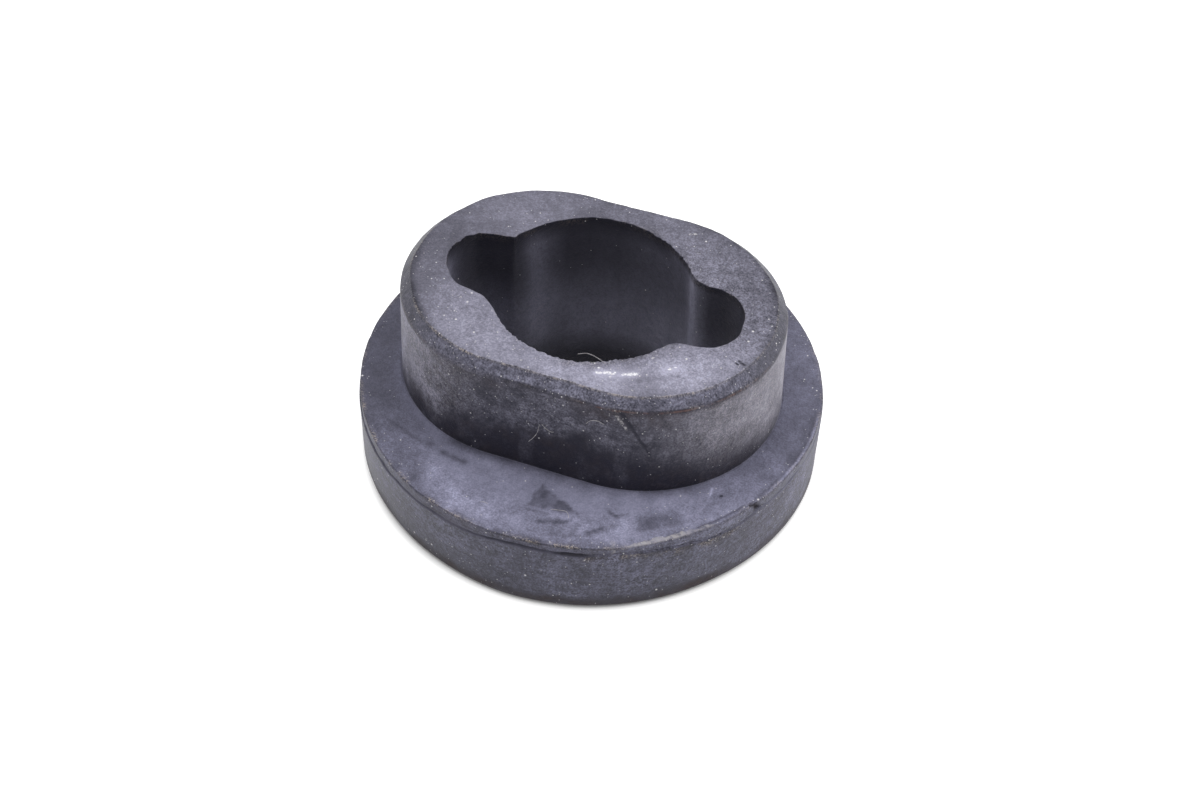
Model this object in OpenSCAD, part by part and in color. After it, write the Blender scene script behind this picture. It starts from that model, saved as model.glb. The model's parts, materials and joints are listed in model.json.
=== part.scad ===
// Rubber damper, moulded in one piece.
// A round flange carries a straight-sided boss with round ends,
// and a bore with two opposite lobes goes right through both.
// The origin is the centre of the underside, +Z is up and +X lies along the boss.

/* [Flange] */
// Diameter of the round flange
flange_d = 40.5; // [36:0.5:60]
// Thickness of the flange
flange_h = 7.4; // [5:0.1:11]
// Radius of the flange's lower outer edge
foot_r = 0.6; // [0.2:0.1:1.5]
// Radius of the flange's upper outer edge
rim_r = 0.2; // [0.1:0.1:0.6]
// Drop of the mould's parting line below the flange's top face
seam_drop = 1.1; // [0.8:0.1:2]
// Height of the parting line's groove
seam_h = 0.3; // [0.1:0.1:0.4]
// Depth of the parting line's groove
seam_depth = 0.2; // [0.1:0.1:0.6]

/* [Boss] */
// Height of the whole damper, from the underside to the top of the boss
body_h = 17.2; // [13:0.2:30]
// Length of the boss at the flange, over its round ends
boss_l = 33.6; // [31:0.2:38]
// Width of the boss at the flange, over its straight sides
boss_w = 24.4; // [22:0.2:30]
// Draft of the boss wall in degrees
boss_draft = 2; // [0:0.5:4]
// Width of the chamfer round the top face
cham_w = 0.9; // [0.4:0.1:1.4]
// Height of the chamfer round the top face
cham_h = 1; // [0.4:0.1:2]

/* [Bore] */
// Diameter of the round middle of the bore
bore_d = 17.7; // [15:0.1:19]
// Diameter of each lobe
lobe_d = 7.3; // [6:0.1:9]
// Distance between the centres of the two lobes
lobe_pitch = 18.9; // [17:0.1:20.5]
// Radius that blends each lobe into the round middle
blend_r = 2; // [0.5:0.1:3]

/* [Hidden] */
$fn = 128;

flange_r = flange_d / 2;
// Half the straight length of the boss, and the radius of its ends at the flange
boss_run = (boss_l - boss_w) / 2;
boss_r = boss_w / 2;
// Height where the wall meets the chamfer, and the wall's radius there
wall_top = body_h - cham_h;
wall_r = boss_r - (wall_top - flange_h) * tan(boss_draft);
// The blend's centre is clear of the middle and of the lobe by the same radius
lobe_x = lobe_pitch / 2;
mid_reach = bore_d / 2 + blend_r;
lobe_reach = lobe_d / 2 + blend_r;
blend_x = (mid_reach ^ 2 - lobe_reach ^ 2 + lobe_x ^ 2) / (2 * lobe_x);
blend_y = sqrt(mid_reach ^ 2 - blend_x ^ 2);
// How far a cut runs past the face it opens
past = 1;

// Half section of the flange: rounded edges and the groove at the parting line
module flange_section() {
  difference() {
    union() {
      square([flange_r - foot_r, flange_h]);
      translate([0, foot_r])
        square([flange_r - rim_r, flange_h - foot_r]);
      translate([0, foot_r])
        square([flange_r, flange_h - foot_r - rim_r]);
      translate([flange_r - foot_r, foot_r])
        circle(r = foot_r);
      translate([flange_r - rim_r, flange_h - rim_r])
        circle(r = rim_r);
    }
    translate([flange_r, flange_h - seam_drop])
      polygon([[0, -seam_h / 2], [past, -seam_h / 2], [past, seam_h / 2], [0, seam_h / 2], [-seam_depth, 0]]);
  }
}

// Half section of the boss, rooted inside the flange
module boss_section() {
  polygon([
    [0, flange_h / 2],
    [boss_r, flange_h / 2],
    [boss_r, flange_h],
    [wall_r, wall_top],
    [wall_r - cham_w, body_h],
    [0, body_h]
  ]);
}

// The same section turned round each end and run straight between them
module boss() {
  for (side = [0, 180])
    rotate([0, 0, side])
      translate([boss_run, 0, 0])
        rotate([0, 0, -90])
          rotate_extrude(angle = 180)
            boss_section();
  rotate([90, 0, 90])
    translate([0, 0, -boss_run])
      linear_extrude(height = 2 * boss_run) {
        boss_section();
        mirror([1, 0])
          boss_section();
      }
}

// Corner between the middle and one lobe, left hollow up to the blend
module lobe_blend() {
  difference() {
    polygon([[0, 0], [lobe_x, 0], [blend_x, blend_y]]);
    translate([blend_x, blend_y])
      circle(r = blend_r);
  }
}

// Outline of the bore: a round middle with two lobes blended into it
module bore_outline() {
  circle(d = bore_d);
  for (end = [0, 1])
    mirror([end, 0]) {
      translate([lobe_x, 0])
        circle(d = lobe_d);
      lobe_blend();
      mirror([0, 1])
        lobe_blend();
    }
}

module damper_body() {
  color([0.2, 0.21, 0.23])
    difference() {
      union() {
        rotate_extrude()
          flange_section();
        boss();
      }
      translate([0, 0, -past])
        linear_extrude(height = body_h + 2 * past)
          bore_outline();
    }
}

damper_body();
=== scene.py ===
import json
import math

import bpy
import numpy as np
from mathutils import Matrix, Vector


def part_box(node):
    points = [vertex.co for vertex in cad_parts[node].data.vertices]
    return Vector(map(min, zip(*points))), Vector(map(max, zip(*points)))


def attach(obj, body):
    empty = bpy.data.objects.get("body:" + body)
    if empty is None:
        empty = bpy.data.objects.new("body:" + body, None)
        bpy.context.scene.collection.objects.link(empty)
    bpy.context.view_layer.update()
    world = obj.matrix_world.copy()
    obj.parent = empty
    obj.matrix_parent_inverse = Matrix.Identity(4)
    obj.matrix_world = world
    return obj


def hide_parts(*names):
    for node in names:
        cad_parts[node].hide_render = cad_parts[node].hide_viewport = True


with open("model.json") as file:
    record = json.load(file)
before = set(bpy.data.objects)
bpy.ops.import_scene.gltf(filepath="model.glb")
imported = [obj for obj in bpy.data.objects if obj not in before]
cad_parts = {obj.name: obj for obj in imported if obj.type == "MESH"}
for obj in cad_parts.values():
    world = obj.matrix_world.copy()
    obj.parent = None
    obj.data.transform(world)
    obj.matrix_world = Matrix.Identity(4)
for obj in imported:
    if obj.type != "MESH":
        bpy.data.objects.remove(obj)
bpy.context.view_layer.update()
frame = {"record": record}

# Lengths below are in millimetres unless a name says otherwise
MM = 0.001

# Sizes of the damper: the frame gives the main ones, and the rest are the solid's own
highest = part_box("damper_body")[1]
mounts = {m["name"]: m for m in frame["record"]["mounts"]}
FLANGE_R, BODY_H = highest.x / MM, highest.z / MM
FLANGE_H = mounts["flange_seat"]["pos_m"][2] / MM
BORE_R = mounts["bore"]["dims"]["r_mm"]
FOOT_R = 0.6
BOSS_RUN, BOSS_R, BOSS_DRAFT = 4.6, 12.2, 2.0
CHAM_W, CHAM_H = 0.9, 1.0
LOBE_R, LOBE_X = 3.65, 9.45
WALL_TOP = BODY_H - CHAM_H
WALL_R = BOSS_R - (WALL_TOP - FLANGE_H) * math.tan(math.radians(BOSS_DRAFT))

# The flange's upper edge, sharper than the solid's, and the width of the brim inside it
EDGE_R, BRIM = 0.12, 0.95

# Points round the axis, and how much closer together they lie at the front
AROUND, FRONT_CROWDING = 560, 0.35

# Radii of the circles that noise is read along, at the bore, the boss and the lip
AT_BORE, AT_BOSS, AT_LIP = 10.0, 15.0, 20.0


# Noise and masks

def hash3(ix, iy, iz, seed):
    """A fixed random number from 0 to 1 for each cell of a grid."""
    n = (ix * 374761393 + iy * 668265263 + iz * 1440662683 + seed * 974711) & 0xFFFFFFFF
    n = ((n ^ (n >> 13)) * 1274126177) & 0xFFFFFFFF
    n = ((n ^ (n >> 16)) * 2246822519) & 0xFFFFFFFF
    return ((n ^ (n >> 15)) & 0xFFFFFF) / float(0xFFFFFF)


def noise(p, cell, seed):
    """Smooth noise from -1 to 1 at points p, with cells of that size."""
    q = np.asarray(p, float) / cell
    i = np.floor(q).astype(np.int64)
    f = q - i
    f = f * f * f * (f * (f * 6 - 15) + 10)
    total = 0
    for dx in (0, 1):
        for dy in (0, 1):
            for dz in (0, 1):
                w = f[..., 0] if dx else 1 - f[..., 0]
                w = w * (f[..., 1] if dy else 1 - f[..., 1])
                w = w * (f[..., 2] if dz else 1 - f[..., 2])
                total = total + w * hash3(i[..., 0] + dx, i[..., 1] + dy, i[..., 2] + dz, seed)
    return total * 2 - 1


def fbm(p, cell, seed, octaves=4):
    """Noise with finer and fainter layers added."""
    total, amp, norm = 0, 1.0, 0
    for k in range(octaves):
        total = total + amp * noise(p, cell / 2**k, seed + 17 * k)
        norm += amp
        amp *= 0.5
    return total / norm


def step(lo, hi, x):
    """0 below lo, 1 above hi and smooth between."""
    t = np.clip((x - lo) / (hi - lo), 0, 1)
    return t * t * (3 - 2 * t)


TURN = 2 * math.pi * np.arange(AROUND) / AROUND
TH = TURN - FRONT_CROWDING * np.cos(TURN)
COS, SIN = np.cos(TH), np.sin(TH)
DEG = (np.degrees(TH) + 180) % 360 - 180
RING = np.stack([COS, SIN, 0 * COS], 1)


def apart(centre):
    """Degrees between each point round the axis and an angle."""
    return np.abs((DEG - centre + 180) % 360 - 180)


def hump(x, width):
    """1 where x is 0, falling to 0 on both sides."""
    return np.exp(-((x / width) ** 2))


def bell(centre, width):
    """1 at an angle in degrees, falling to 0 on both sides."""
    return hump(apart(centre), width)


def span(lo, hi, soft):
    """1 between two angles in degrees, with soft ends."""
    half = (hi - lo) / 2
    return 1 - step(half - soft, half + soft, apart((lo + hi) / 2))


def round_noise(cell, seed, radius=AT_BORE):
    """Noise along a circle of that radius."""
    return noise(RING * radius, cell, seed)


def by_angle(*pairs):
    """Values at given angles in degrees, joined up round the axis; the front is at -90."""
    angles, values = zip(*sorted(pairs))
    return np.interp(DEG, angles, values, period=360)


def eased(values, reach):
    """Values round the axis, each averaged three times with its neighbours."""
    for _ in range(3):
        values = sum(np.roll(values, k) for k in range(-reach, reach + 1)) / (2 * reach + 1)
    return values


# Outlines seen along the axis, as distances from it

def obround(run, r):
    """The boss: straight sides and round ends."""
    c, s = np.abs(COS), np.maximum(np.abs(SIN), 1e-9)
    end = run * c + np.sqrt(np.maximum(r * r - (run * s) ** 2, 0))
    return np.where(r * c / s <= run, r / s, end)


def lobed(blend):
    """The bore: a round middle, two lobes and a blend of the given radius at each cusp."""
    c, s = np.abs(COS), np.abs(SIN)
    a, b = BORE_R + blend, LOBE_R + blend
    fx = (a * a - b * b + LOBE_X**2) / (2 * LOBE_X)
    fy = np.sqrt(a * a - fx * fx)
    k = LOBE_R / b
    lobe_ends = np.arctan2(fy * k, LOBE_X + (fx - LOBE_X) * k)
    cusp_ends = np.arctan2(fy, fx)
    lobe = LOBE_X * c + np.sqrt(np.maximum(LOBE_R**2 - (LOBE_X * s) ** 2, 0))
    along = fx * c + fy * s
    cusp = along - np.sqrt(np.maximum(along**2 - fx * fx - fy * fy + blend**2, 0))
    angle = np.arctan2(s, c)
    return np.where(angle < lobe_ends, lobe, np.where(angle < cusp_ends, cusp, BORE_R))


# The section, as rows of points from the bore's foot outward, up and back down the bore
rows = []


def add(rho, z, tag, t):
    """One row: its distance from the axis, its height, its tag and how far along its stretch it lies."""
    rho = np.broadcast_to(rho, (AROUND,)).astype(float)
    z = np.broadcast_to(z, (AROUND,)).astype(float)
    rows.append((rho, z, tag, t))


def run(p0, p1, n, tag, ease=0.0):
    """Rows from one point of the section up to the next."""
    for k in range(n):
        t = k / n
        u = t + ease * (t * t * (3 - 2 * t) - t)
        add(p0[0] + (p1[0] - p0[0]) * u, p0[1] + (p1[1] - p0[1]) * u, tag, u)


def arc(centre, r, a0, a1, n, tag):
    """Rows round part of a circle, between two angles in degrees."""
    for k in range(n):
        a = math.radians(a0 + (a1 - a0) * k / n)
        add(centre[0] + r * math.cos(a), centre[1] + r * math.sin(a), tag, k / n)


def edge_points(line_r, line_z, offsets):
    """Points round a small edge, each so far out from a line and so far up from it."""
    return [(line_r + out, line_z + up) for out, up in offsets]


def edge(points, tag):
    """Rows round a small edge, up to its last point, where the next run starts."""
    n = len(points) - 1
    for k in range(n):
        add(*points[k], tag, k / n)


# The cusps are sharper at the back of the bore than at the front, and soften with depth
FRONT_BLEND, BACK_BLEND, DEEP_BLEND = 2.9, 1.1, 2.2
bore_wave = 0.05 * round_noise(3.0, 5) - 0.10 * span(-115, -65, 12)
bore_r = lobed(np.where(SIN < 0, FRONT_BLEND, BACK_BLEND)) + bore_wave
bore_deep = lobed(np.where(SIN < 0, FRONT_BLEND, DEEP_BLEND)) + bore_wave
BORE_TAPER, BORE_MID_Z = 0.30, 12.0
bore_foot = bore_deep - BORE_TAPER

# How far the bore's worn upper edge lies out from its true outline
MOUTH_OUT = [
    (-180, 0.0), (-174, -0.17), (-168, -0.12), (-165, 0.05), (-159, 0.58), (-156, 0.46), (-153, 0.12),
    (-147, -0.08), (-141, -0.27), (-123, -0.20), (-111, -0.15), (-102, 0.0), (-66, 0.0), (-57, -0.24),
    (-45, 0.05), (-30, 0.0), (-22, -0.35), (-15, 0.06), (-5, 0.13), (3, -0.13), (12, 0.13), (24, 0.40),
    (27, 0.05), (31, -0.35), (36, -0.26), (54, -0.36), (66, -0.14), (84, 0.03), (99, 0.11), (120, 0.19),
    (147, 0.28), (155, 0.36), (159, -0.60), (162, -0.68), (165, 0.05), (172, 0.10), (177, 0.04),
]
mouth_r = bore_r + eased(by_angle(*MOUTH_OUT), 1)
bore_mid = bore_deep + 0.3 * (mouth_r - bore_r) - BORE_TAPER * (1 - BORE_MID_Z / BODY_H)

# Torn upper edge of the bore: teeth at the left lobe, and ragged there, in front and at the back right
TEETH = [(175, 179, -0.12), (169, 175, -0.22), (163, 169, -0.26), (159, 163, -0.10)]
TOOTH_SOFT = 0.25
tear = 0.04 * round_noise(0.5, 11) + 0.03 * round_noise(1.2, 12)
tear = tear - 0.10 * bell(-97, 2) + 0.08 * bell(-78, 4)
for start, end, depth in TEETH:
    tear = tear + depth * span(start, end, TOOTH_SOFT)
ragged = span(-130, -30, 8) + 0.9 * span(18, 75, 6) + 1.2 * span(158, 184, 3)
tear = tear + ragged * (0.10 * round_noise(0.35, 13) + 0.07 * round_noise(0.16, 14))

# The flange is a little out of round: how far its lip, its rim's top and its foot lie inside its radius
LIP_IN = [
    (-180, 0.27), (-155, 0.25), (-110, 0.23), (-90, 0.31), (-76, 0.31), (-66, 0.18), (-55, 0.21),
    (-40, 0.15), (-20, 0.08), (0, -0.04), (15, 0.06), (30, 0.30), (45, 0.42), (90, 0.46), (135, 0.40),
]
RIM_IN = [
    (-180, 0.08), (-150, 0.10), (-125, 0.14), (-90, 0.22), (-60, 0.14), (-40, 0.08), (-20, 0.02),
    (0, -0.06), (19, -0.06), (40, 0.10), (90, 0.30), (140, 0.20),
]
FOOT_IN = [
    (-180, 0.03), (-150, 0.07), (-125, 0.28), (-110, 0.27), (-90, 0.02), (-75, 0.02), (-45, 0.14),
    (-30, 0.08), (-10, -0.06), (0, -0.06), (19, 0.0), (40, 0.15), (90, 0.35), (140, 0.25),
]
ROUND_REACH = 5
lip_wave = 0.03 * round_noise(1.6, 21, AT_LIP) + 0.025 * round_noise(0.6, 22, AT_LIP)
lip_r = FLANGE_R - eased(by_angle(*LIP_IN), ROUND_REACH) + lip_wave
rim_wave = 0.02 * round_noise(4.0, 23, AT_LIP)
rim_r = FLANGE_R - eased(by_angle(*RIM_IN), ROUND_REACH) + rim_wave
foot_line = FLANGE_R - eased(by_angle(*FOOT_IN), ROUND_REACH) + rim_wave

# Parting line: how far it lies below the flange's top face, half its height and the depth of its groove
DROP = [
    (-180, 1.15), (-125, 1.18), (-107, 1.10), (-97, 1.05), (-92, 0.74), (-86, 0.68), (-78, 0.80),
    (-71, 0.76), (-68, 0.63), (-63, 0.62), (-58, 0.66), (-50, 0.85), (-45, 1.05), (-41, 1.35),
    (-32, 1.35), (-28, 1.05), (-15, 0.95), (60, 1.0),
]
seam_wave = 0.06 * round_noise(1.0, 24, AT_LIP) + 0.03 * round_noise(0.4, 27, AT_LIP)
seam_z = FLANGE_H - by_angle(*DROP) - seam_wave
slot = span(-76, -71, 0.6)
gap = 0.06 + 0.08 * slot
groove = 0.02 + 0.02 * round_noise(1.5, 25, AT_LIP) + 0.08 * span(-94, -84, 1.0) + 0.22 * slot
groove = np.maximum(groove, 0.0) * (1 - span(-69, 60, 2))
groove = groove + np.maximum(0.09 * span(-68, -34, 3) * round_noise(0.4, 26, AT_LIP), 0.0)
seam_in = np.minimum(rim_r, lip_r) - groove

# The boss at the flange, at the chamfer's lower edge and at its upper edge, and how those two edges waver
base_r = obround(BOSS_RUN, BOSS_R)
wall_r = obround(BOSS_RUN, WALL_R)
top_r = obround(BOSS_RUN, WALL_R - CHAM_W)
wave_lo = 0.05 * round_noise(2.2, 31, AT_BOSS) + 0.03 * round_noise(0.7, 32, AT_BOSS)
wave_hi = 0.06 * round_noise(2.6, 33, AT_BOSS) + 0.03 * round_noise(0.8, 34, AT_BOSS)

# Small edges: how far each point lies out from the edge's line and up from it
ROOT_EDGE = [(0.10, 0.0), (0.02, 0.0), (0.0, 0.02), (0.0, 0.10)]
CHAM_LO_EDGE = [(0.0, -0.12), (-0.03, 0.0), (-0.10, 0.11), (-0.20, 0.22)]
CHAM_HI_EDGE = [(0.06, -0.07), (0.02, -0.025), (-0.03, -0.005), (-0.08, 0.0)]
MOUTH_EDGE = [(0.07, 0.0), (0.02, -0.02), (0.0, -0.07)]
DRIP_EDGE = [(0.0, 0.15), (0.045, 0.045), (0.15, 0.0)]
SEAM_BEVEL, SEAM_ROUND = 0.04, 0.03
TEAR_DEPTH, WEAR_DEPTH = 0.40, 0.9
seam = [
    (rim_r, seam_z - gap - SEAM_BEVEL),
    (rim_r - SEAM_ROUND, seam_z - gap),
    (seam_in, seam_z - 0.3 * gap),
    (seam_in, seam_z + 0.3 * gap),
    (lip_r - SEAM_ROUND, seam_z + gap),
    (lip_r, seam_z + gap + SEAM_BEVEL),
]
root = edge_points(base_r, FLANGE_H, ROOT_EDGE)
cham_lo = edge_points(wall_r, WALL_TOP + wave_lo, CHAM_LO_EDGE)
cham_hi = edge_points(top_r + wave_hi, BODY_H, CHAM_HI_EDGE)
mouth = edge_points(mouth_r + tear, BODY_H, MOUTH_EDGE)
mouth += [(mouth_r + 0.5 * tear, BODY_H - TEAR_DEPTH), (mouth_r, BODY_H - WEAR_DEPTH)]
drip = edge_points(bore_foot, 0.0, DRIP_EDGE)

# The whole section
run(drip[-1], (foot_line - FOOT_R, 0.0), 3, "under")
arc((foot_line - FOOT_R, FOOT_R), FOOT_R, -90, 0, 6, "foot")
run((foot_line, FOOT_R), seam[0], 25, "rim")
edge(seam, "seam")
run(seam[-1], (lip_r, FLANGE_H - EDGE_R), 5, "lip")
arc((lip_r - EDGE_R, FLANGE_H - EDGE_R), EDGE_R, 0, 90, 4, "edge")
run((lip_r - EDGE_R, FLANGE_H), (lip_r - BRIM, FLANGE_H), 9, "brim")
run((lip_r - BRIM, FLANGE_H), root[0], 28, "flange", 0.2)
edge(root, "root")
run(root[-1], cham_lo[0], 38, "wall")
edge(cham_lo, "chamlo")
run(cham_lo[-1], cham_hi[0], 6, "cham")
edge(cham_hi, "chamhi")
run(cham_hi[-1], mouth[0], 21, "top", 0.2)
edge(mouth, "mouth")
run(mouth[-1], (bore_mid, BORE_MID_Z), 4, "bore")
run((bore_mid, BORE_MID_Z), drip[0], 8, "bore")
edge(drip, "drip")

RHO = np.array([r[0] for r in rows])
Z0 = np.array([r[1] for r in rows])
TAGS = np.array([r[2] for r in rows])
T = np.array([r[3] for r in rows])[:, None]
P = np.stack([RHO * COS, RHO * SIN, Z0], -1)
OUT = np.stack([np.broadcast_to(COS, RHO.shape), np.broadcast_to(SIN, RHO.shape), 0 * RHO], -1)


def on(*tags):
    """1 on rows with one of these tags and 0 elsewhere."""
    return np.isin(TAGS, tags)[:, None].astype(float)


ON_FLANGE, ON_EDGE = on("flange", "brim"), on("edge", "brim")
ON_TOP, ON_CHAMFER = on("top", "mouth"), on("cham", "chamlo", "chamhi")


def raise_by(amount):
    """Lifts the points."""
    P[..., 2] += amount


def push_by(amount):
    """Moves the points away from the axis."""
    P[...] += OUT * (amount * np.ones_like(RHO))[..., None]


def near_line(a, b):
    """Distance of each point from a straight line between two points."""
    a, b = np.array(a, float), np.array(b, float)
    d = b - a
    t = np.clip(((P - a) @ d) / (d @ d), 0, 1)
    return np.linalg.norm(P - a - t[..., None] * d, axis=-1)


# Slight unevenness of the moulded faces, which are smooth along the glossy line on the top
GLOSSY = np.array([(3.8, -9.25, BODY_H), (6.7, -8.3, BODY_H)])
GLOSSY_W = 0.9
calm = 1 - np.exp(-((near_line(*GLOSSY) / GLOSSY_W) ** 4))
raise_by((ON_CHAMFER + ON_TOP) * 0.05 * calm * fbm(P, 5.0, 41, 3))
raise_by(on("top") * 0.012 * calm * fbm(P, 0.9, 44, 2))
raise_by(on("lip", "edge", "brim", "flange") * 0.04 * fbm(P, 5.0, 42, 3))
raise_by(on("flange") * 0.010 * fbm(P, 0.9, 45, 2))
push_by(on("wall", "rim", "cham", "chamlo") * 0.035 * fbm(P, 4.0, 43, 4))

# Flash along the flange's upper edge: a torn strip, a ridge with a groove inside it, and a slanting nick
FIN_IN, FIN_W = 0.18, 0.12
GUTTER_IN, GUTTER_W = 0.46, 0.11
NICK_AT, NICK_W, NICK_SLANT, NICK_DEPTH = -28.2, 0.7, 1.9, 0.38
CURL_AT, CURL_W = -26.2, 0.7
INWARD = lip_r - RHO
torn = span(-61, -46, 0.8) + 0.7 * span(-46, -39, 0.8)
torn = torn * np.clip(0.95 + 0.4 * round_noise(0.6, 51, AT_LIP), 0.4, 1.2)
torn_in = 0.40 + 0.08 * span(-60, -50, 2)
torn_in = torn_in + 0.14 * round_noise(0.8, 53, AT_LIP) + 0.12 * round_noise(0.3, 54, AT_LIP)
strip = step(0.0, 0.10, INWARD) * (1 - step(torn_in - 0.10, torn_in + 0.04, INWARD)) * torn
ridge_right = 0.5 * span(-22.5, 6, 2) * (0.8 + 0.3 * round_noise(1.0, 52, AT_LIP))
ridge_front = 0.8 * span(-44, -30, 2)
ridge = ridge_right + ridge_front
fin = hump(INWARD - FIN_IN, FIN_W)
gutter = hump(INWARD - GUTTER_IN, GUTTER_W)
slanting = NICK_AT + NICK_SLANT * (FLANGE_H - Z0) - np.clip(INWARD, 0, 1)
nick = bell(slanting, NICK_W) * (1 - step(0.3, 0.5, INWARD))
curl = bell(CURL_AT, CURL_W)
raise_by(ON_EDGE * (0.10 * strip + fin * (0.09 * ridge + 0.06 * curl)))
raise_by(ON_EDGE * gutter * -0.04 * ridge)
push_by(-NICK_DEPTH * nick * on("lip", "edge"))
raise_by(-0.22 * nick * ON_EDGE * (1 - step(0.3, 0.8, INWARD)))

# A diagonal scratch on the boss wall
SCRATCH = np.array([(6.86, -11.66, 15.96), (8.78, -11.27, 12.40)])
SCRATCH_W, SCRATCH_DEPTH = 0.20, 0.10
scratch = hump(near_line(*SCRATCH), SCRATCH_W) * on("wall", "chamlo")
push_by(-SCRATCH_DEPTH * scratch)

X, Y, Z = P[..., 0], P[..., 1], P[..., 2]


def build_skin(name):
    """One closed mesh: the rows joined round the axis and back to the first."""
    count = len(rows)
    j, i = np.meshgrid(np.arange(count), np.arange(AROUND), indexing="ij")
    j2, i2 = (j + 1) % count, (i + 1) % AROUND
    quads = np.stack([j * AROUND + i, j * AROUND + i2, j2 * AROUND + i2, j2 * AROUND + i], -1)
    mesh = bpy.data.meshes.new(name)
    mesh.from_pydata((P.reshape(-1, 3) * MM).tolist(), [], quads.reshape(-1, 4).tolist())
    mesh.update()
    mesh.polygons.foreach_set("use_smooth", [True] * len(mesh.polygons))
    obj = bpy.data.objects.new(name, mesh)
    bpy.context.scene.collection.objects.link(obj)
    return obj


body = build_skin("damper_skin")


def attribute(name, values, most=1.0):
    """Stores a mask from 0 up to its greatest value on the skin's points."""
    layer = body.data.attributes.new(name, "FLOAT", "POINT")
    values = np.clip(values * np.ones_like(RHO), 0, most)
    layer.data.foreach_set("value", values.reshape(-1).astype(np.float32))


# Pale bloom on the black rubber, which goes past 1 where the rubber is palest
MOST_BLOOM = 1.6


def blob(cx, cy, rx, ry, turn=0.0):
    """A soft spot on a level face, with its half axes and its turn in degrees."""
    a = math.radians(turn)
    u = (X - cx) * math.cos(a) + (Y - cy) * math.sin(a)
    v = -(X - cx) * math.sin(a) + (Y - cy) * math.cos(a)
    return np.exp(-((u / rx) ** 2 + (v / ry) ** 2))


def stroke(x0, y0, x1, y1, width):
    """A soft straight streak on a level face."""
    dx, dy = x1 - x0, y1 - y0
    t = np.clip(((X - x0) * dx + (Y - y0) * dy) / (dx * dx + dy * dy), 0, 1)
    return hump(np.hypot(X - x0 - t * dx, Y - y0 - t * dy), width)


def upright_noise(share, cell, seed, octaves):
    """Noise drawn out upright: only that share of a height counts."""
    return fbm(P * np.array([1, 1, share]), cell, seed, octaves)


warp = fbm(P, 1.4, 81, 3)
fine_warp = fbm(P, 0.5, 80, 2)


def corner_patch(points, soft):
    """A patch with ragged straight sides on a level face; its corners run anticlockwise."""
    inside = np.full_like(RHO, 1e3)
    for (x0, y0), (x1, y1) in zip(points, points[1:] + points[:1]):
        length = math.hypot(x1 - x0, y1 - y0)
        inside = np.minimum(inside, ((x1 - x0) * (Y - y0) - (y1 - y0) * (X - x0)) / length)
    return step(-soft, soft, inside + 0.22 * warp + 0.18 * fine_warp)


def strokes(marks):
    """Streaks together; each has its two ends, its half width and its strength."""
    return sum(strength * stroke(x0, y0, x1, y1, width) for x0, y0, x1, y1, width, strength in marks)


def blobs(marks):
    """Soft spots together; each has its centre, half axes, turn in degrees and strength."""
    return sum(strength * blob(x, y, rx, ry, turn) for x, y, rx, ry, turn, strength in marks)


def corner_patches(marks):
    """Patches together; each has its strength, its softness and its corners."""
    return sum(strength * corner_patch(points, soft) for strength, soft, points in marks)


# Flange: pale at the front, with dark smudges, a few light scratches and painted shade beside the boss
DARK_STREAKS = [
    (-8.0, -13.55, -6.0, -13.85, 0.36, 0.58), (-14.7, -11.5, -10.2, -13.1, 0.16, 0.35),
    (-16.6, -9.6, -14.7, -9.6, 0.40, 0.30), (-9.95, -14.7, -9.1, -17.1, 0.40, 0.35),
    (2.1, -17.55, 4.2, -16.85, 0.22, 0.60), (0.6, -16.75, 2.6, -16.55, 0.14, 0.40),
    (6.3, -17.2, 8.25, -15.5, 0.28, 0.50), (4.6, -18.2, 6.6, -17.5, 0.14, 0.35),
    (7.1, -14.6, 7.8, -14.8, 0.16, 0.55), (7.8, -14.8, 8.6, -14.2, 0.16, 0.45),
]
DARK_SPOTS = [
    (-9.5, -13.0, 0.5, 0.35, 20, 0.50), (-17.1, -6.9, 0.7, 0.5, 0, 0.30),
    (-6.6, -16.2, 0.8, 0.5, 10, 0.22), (-4.2, -15.6, 1.5, 1.0, 40, 0.15),
    (15.0, -9.6, 0.14, 0.14, 0, 0.9), (19.15, -3.4, 0.4, 1.0, -9, 0.55),
    (19.6, 1.0, 0.3, 0.8, 3, 0.35), (17.9, -8.3, 0.3, 0.8, -25, 0.35),
]
DARK_PATCHES = [
    (0.55, 0.15, [(0.95, -13.65), (0.57, -16.35), (5.1, -15.8)]),
    (0.42, 0.30, [(9.3, -14.3), (10.1, -15.55), (13.4, -13.4), (12.3, -12.3)]),
]
PALE_PATCHES = [
    (0.22, 0.15, [(5.0, -18.4), (7.6, -17.6), (6.9, -15.9), (5.6, -16.6)]),
    (0.14, 0.20, [(7.75, -17.4), (10.15, -16.25), (8.5, -14.7), (7.2, -16.15)]),
]
LIGHT_STREAKS = [
    (14.05, -9.1, 14.15, -9.9, 0.10, 0.70), (14.15, -9.9, 14.0, -11.6, 0.08, 0.25),
    (2.6, -16.7, 4.2, -16.3, 0.12, 0.30), (-2.0, -18.6, 3.0, -18.9, 0.40, 0.16),
    (-9.5, -15.2, -4.5, -18.0, 0.70, 0.16),
]
FLANGE_BLOOM = [
    (-180, 0.23), (-150, 0.25), (-136, 0.36), (-120, 0.68), (-106, 0.82), (-85, 0.74), (-60, 0.76),
    (-44, 0.78), (-32, 0.66), (-22, 0.50), (0, 0.36), (20, 0.40), (90, 0.28),
]
# Painted shade beside the boss, by angle; on the left, where it is below 0, it paints light there instead
BOSS_SHADE = [
    (-180, -0.20), (-150, -0.26), (-138, -0.28), (-130, -0.16), (-122, 0.44), (-110, 0.54), (-98, 0.48),
    (-78, 0.43), (-68, 0.20), (-56, 0.17), (-49, 0.50), (-40, 0.46), (-30, 0.06), (-10, -0.06), (90, 0.0),
]
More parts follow.
